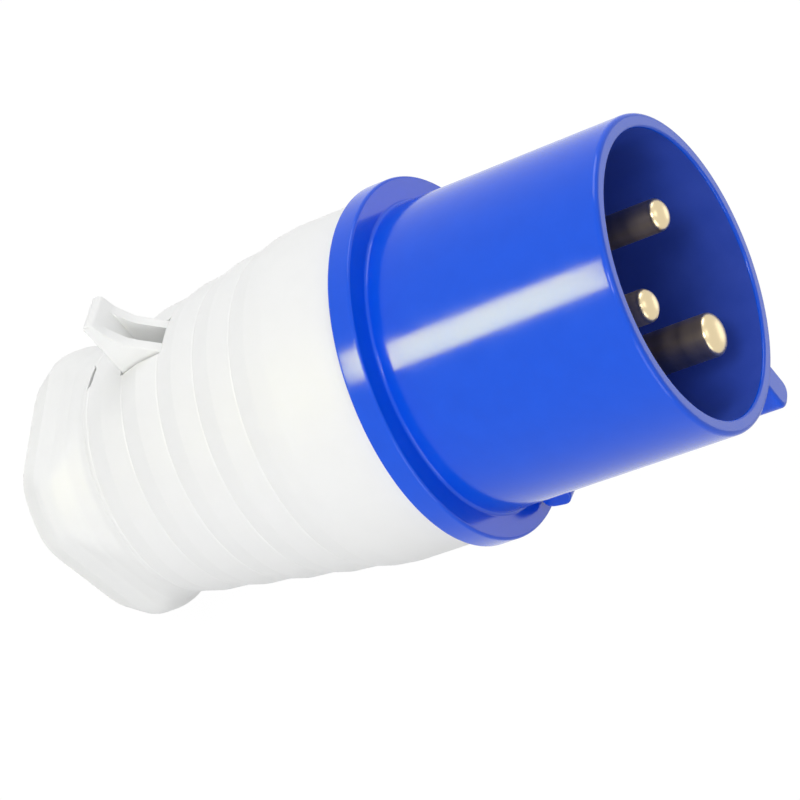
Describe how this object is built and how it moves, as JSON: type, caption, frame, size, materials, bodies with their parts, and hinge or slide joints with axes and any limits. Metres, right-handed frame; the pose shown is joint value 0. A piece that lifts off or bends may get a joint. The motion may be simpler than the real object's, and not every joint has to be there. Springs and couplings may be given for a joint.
{
  "type": "pin-and-sleeve plug",
  "caption": "Splash-proof single-phase pin-and-sleeve plug with a blue keyed shroud, brass pins, white housing, release tab and screwed cable gland cap.",
  "frame": {"origin": "centre of the cable entry on the flat end face of the cable cap, on which the plug stands", "axes": "+Z along the plug's axis from the gland end to the contact tips, +X towards the key rib and the earth contact, +Y completes the right-handed frame"},
  "size_m": [0.0737, 0.0678, 0.13],
  "materials": {
    "blue_shell": "gloss",
    "white_shell": "satin",
    "white_cap": "satin",
    "white_lever": "satin",
    "carrier": "satin",
    "retainer": "matte",
    "contact_brass": "turned",
    "screw_steel": "zinc plated",
    "pin_steel": "ground",
    "spring_steel": "drawn wire",
    "seal_rubber": "matte",
    "sleeve_rubber": "matte",
    "collet_plastic": "satin",
    "washer_plastic": "satin"
  },
  "bodies": {
    "housing": {"front_shroud": "blue_shell", "pin_carrier": "carrier", "retainer_plate": "retainer", "line_pin": "contact_brass", "neutral_pin": "contact_brass", "earth_pin": "contact_brass", "line_clamp_screw": "screw_steel", "neutral_clamp_screw": "screw_steel", "earth_clamp_screw": "screw_steel", "carrier_screw_1": "screw_steel", "carrier_screw_2": "screw_steel", "rear_housing": "white_shell", "housing_seal": "seal_rubber", "lever_pin": "pin_steel", "lever_spring": "spring_steel", "gland_collet": "collet_plastic", "gland_seal": "sleeve_rubber"},
    "washer": {"slip_washer": "washer_plastic"},
    "cap": {"cable_cap": "white_cap"},
    "latch": {"latch_lever": "white_lever"}
  },
  "joints": [
    {"name": "cap_travel", "type": "slide", "parent": "housing", "child": "washer", "axis": [0, 0, -1], "range_m": [0, 0.006]},
    {"name": "cap_turn", "type": "hinge", "parent": "washer", "child": "cap", "pos_m": [0, 0, 0], "axis": [0, 0, -1], "range_deg": [0, 720]},
    {"name": "latch_press", "type": "hinge", "parent": "housing", "child": "latch", "pos_m": [-0.02208, 0.00096, 0.0317], "axis": [0.0436, 0.999, 0], "range_deg": [0, 4], "stiffness_Nm_per_rad": 0.4, "springref_deg": -9.74, "deforming": ["lever_spring"]}
  ],
  "couplings": [
    {"joint": "cap_turn", "follows": "cap_travel", "rad_per_m": 2094.4}
  ]
}
